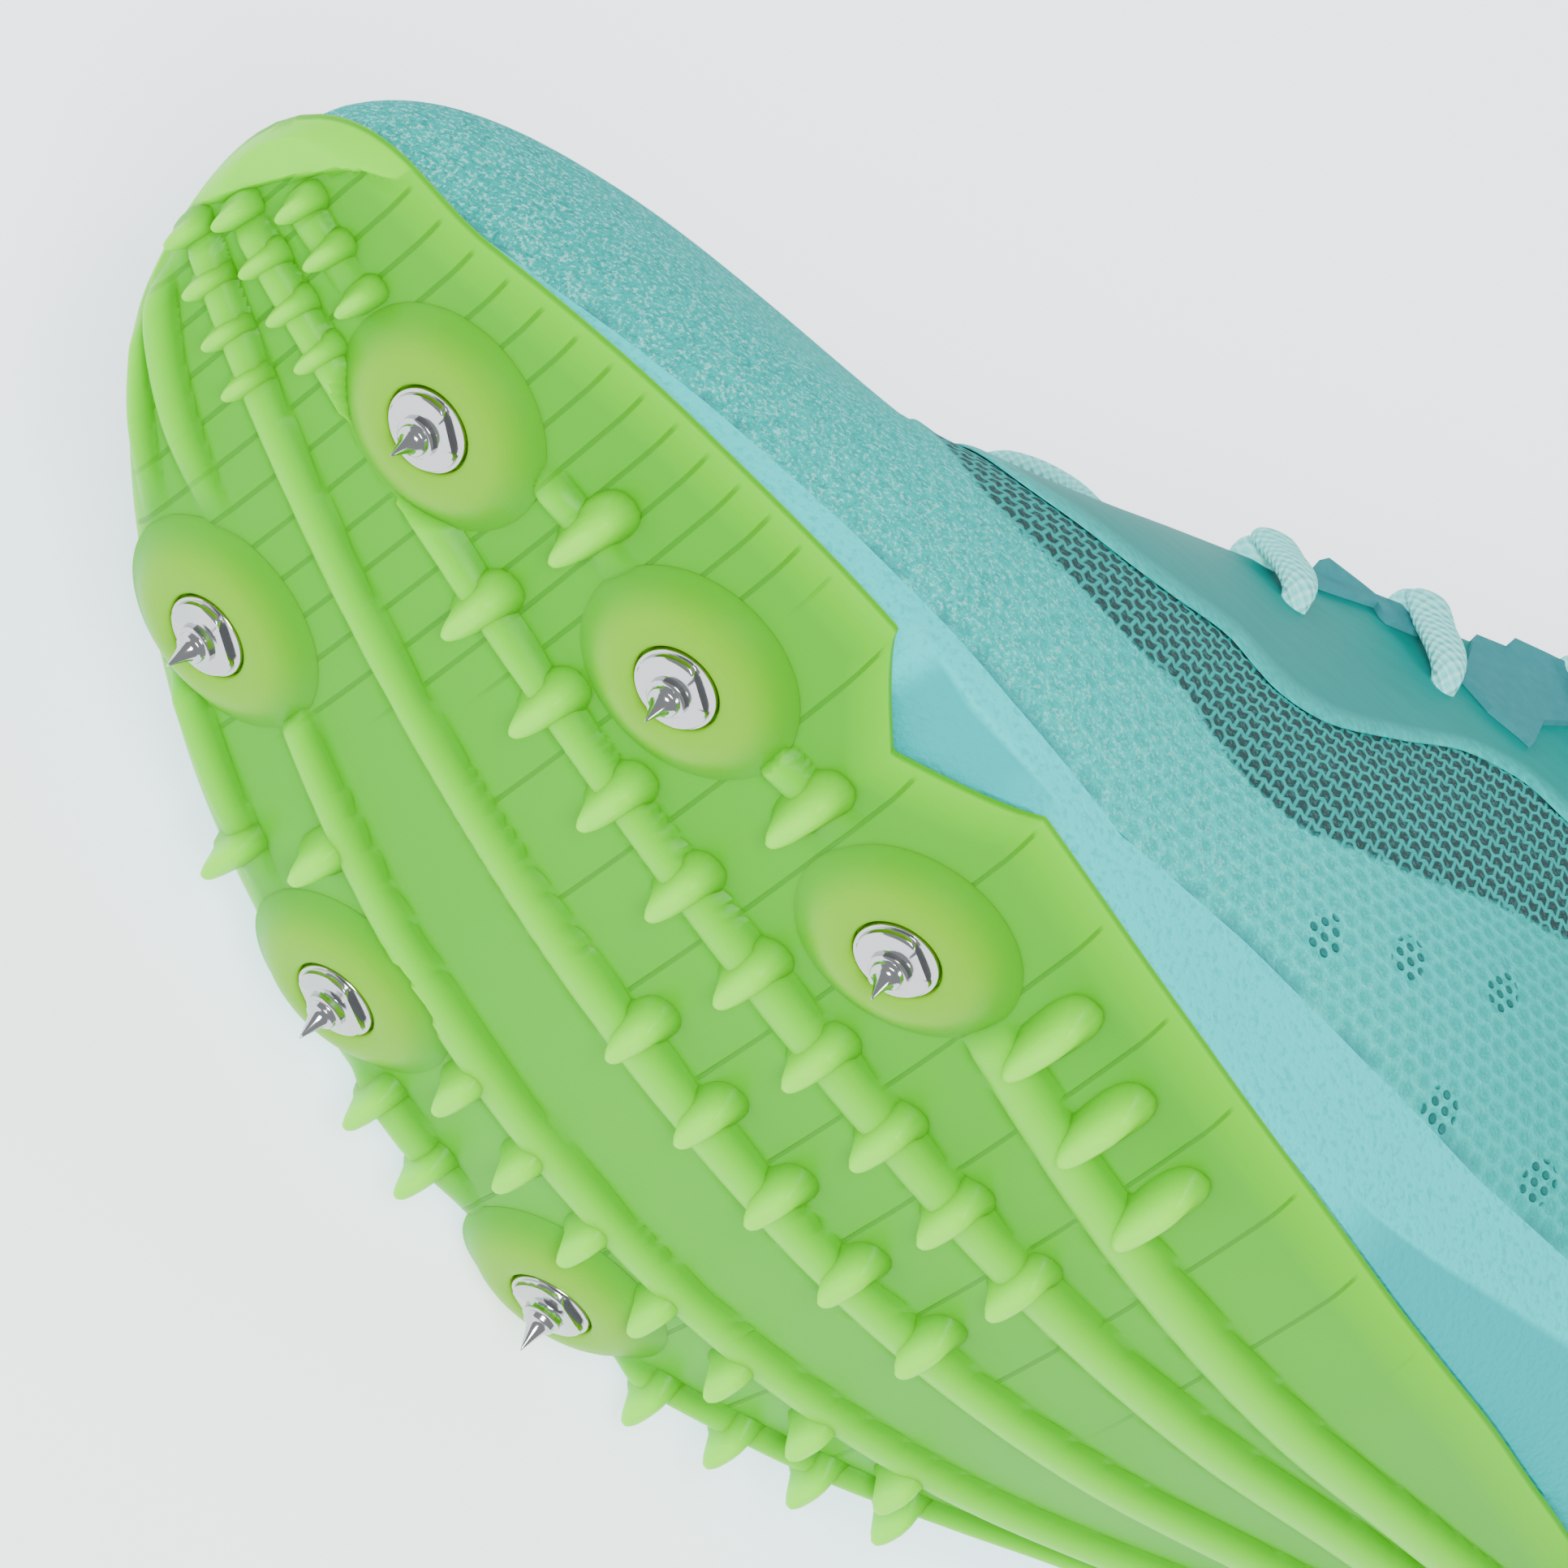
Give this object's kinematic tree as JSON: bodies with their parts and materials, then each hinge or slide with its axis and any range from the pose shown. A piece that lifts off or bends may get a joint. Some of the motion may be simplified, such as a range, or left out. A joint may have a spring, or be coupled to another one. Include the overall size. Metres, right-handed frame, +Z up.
{
  "type": "track spike shoe",
  "caption": "low running shoe lying on its side: ribbed lime-green sole plate with steel screw-in spikes and small fins, teal foam wedge, turquoise knitted upper with flat laces",
  "frame": {"origin": "bottom centre of the bounding box of the shoe as it lies on its outer side", "axes": "+X runs from the toe to the heel, the sole faces -Y and the collar +Y, +Z is up, with the inner side of the shoe on top"},
  "size_m": [0.2834, 0.1132, 0.0946],
  "materials": {
    "plate_green": "satin translucent plastic, moulded",
    "pin_steel": "polished steel",
    "foam_teal": "fine-grained foam",
    "upper_turquoise": "knitted mesh",
    "eyestay_turquoise": "smooth bonded overlay",
    "tongue_slate": "flat felt-like cloth",
    "insole_grey": "brushed cloth on foam",
    "lace_mint": "flat woven lace"
  },
  "bodies": {
    "root": {"outsole_plate": "plate_green", "midsole": "foam_teal", "insole": "insole_grey", "upper": "upper_turquoise", "eyestay": "eyestay_turquoise", "tongue": "tongue_slate", "laces": "lace_mint", "spike_front_inner": "pin_steel", "spike_mid_inner": "pin_steel", "spike_rear_inner": "pin_steel", "spike_front_outer": "pin_steel", "spike_mid_outer": "pin_steel", "spike_rear_outer": "pin_steel"}
  },
  "joints": []
}
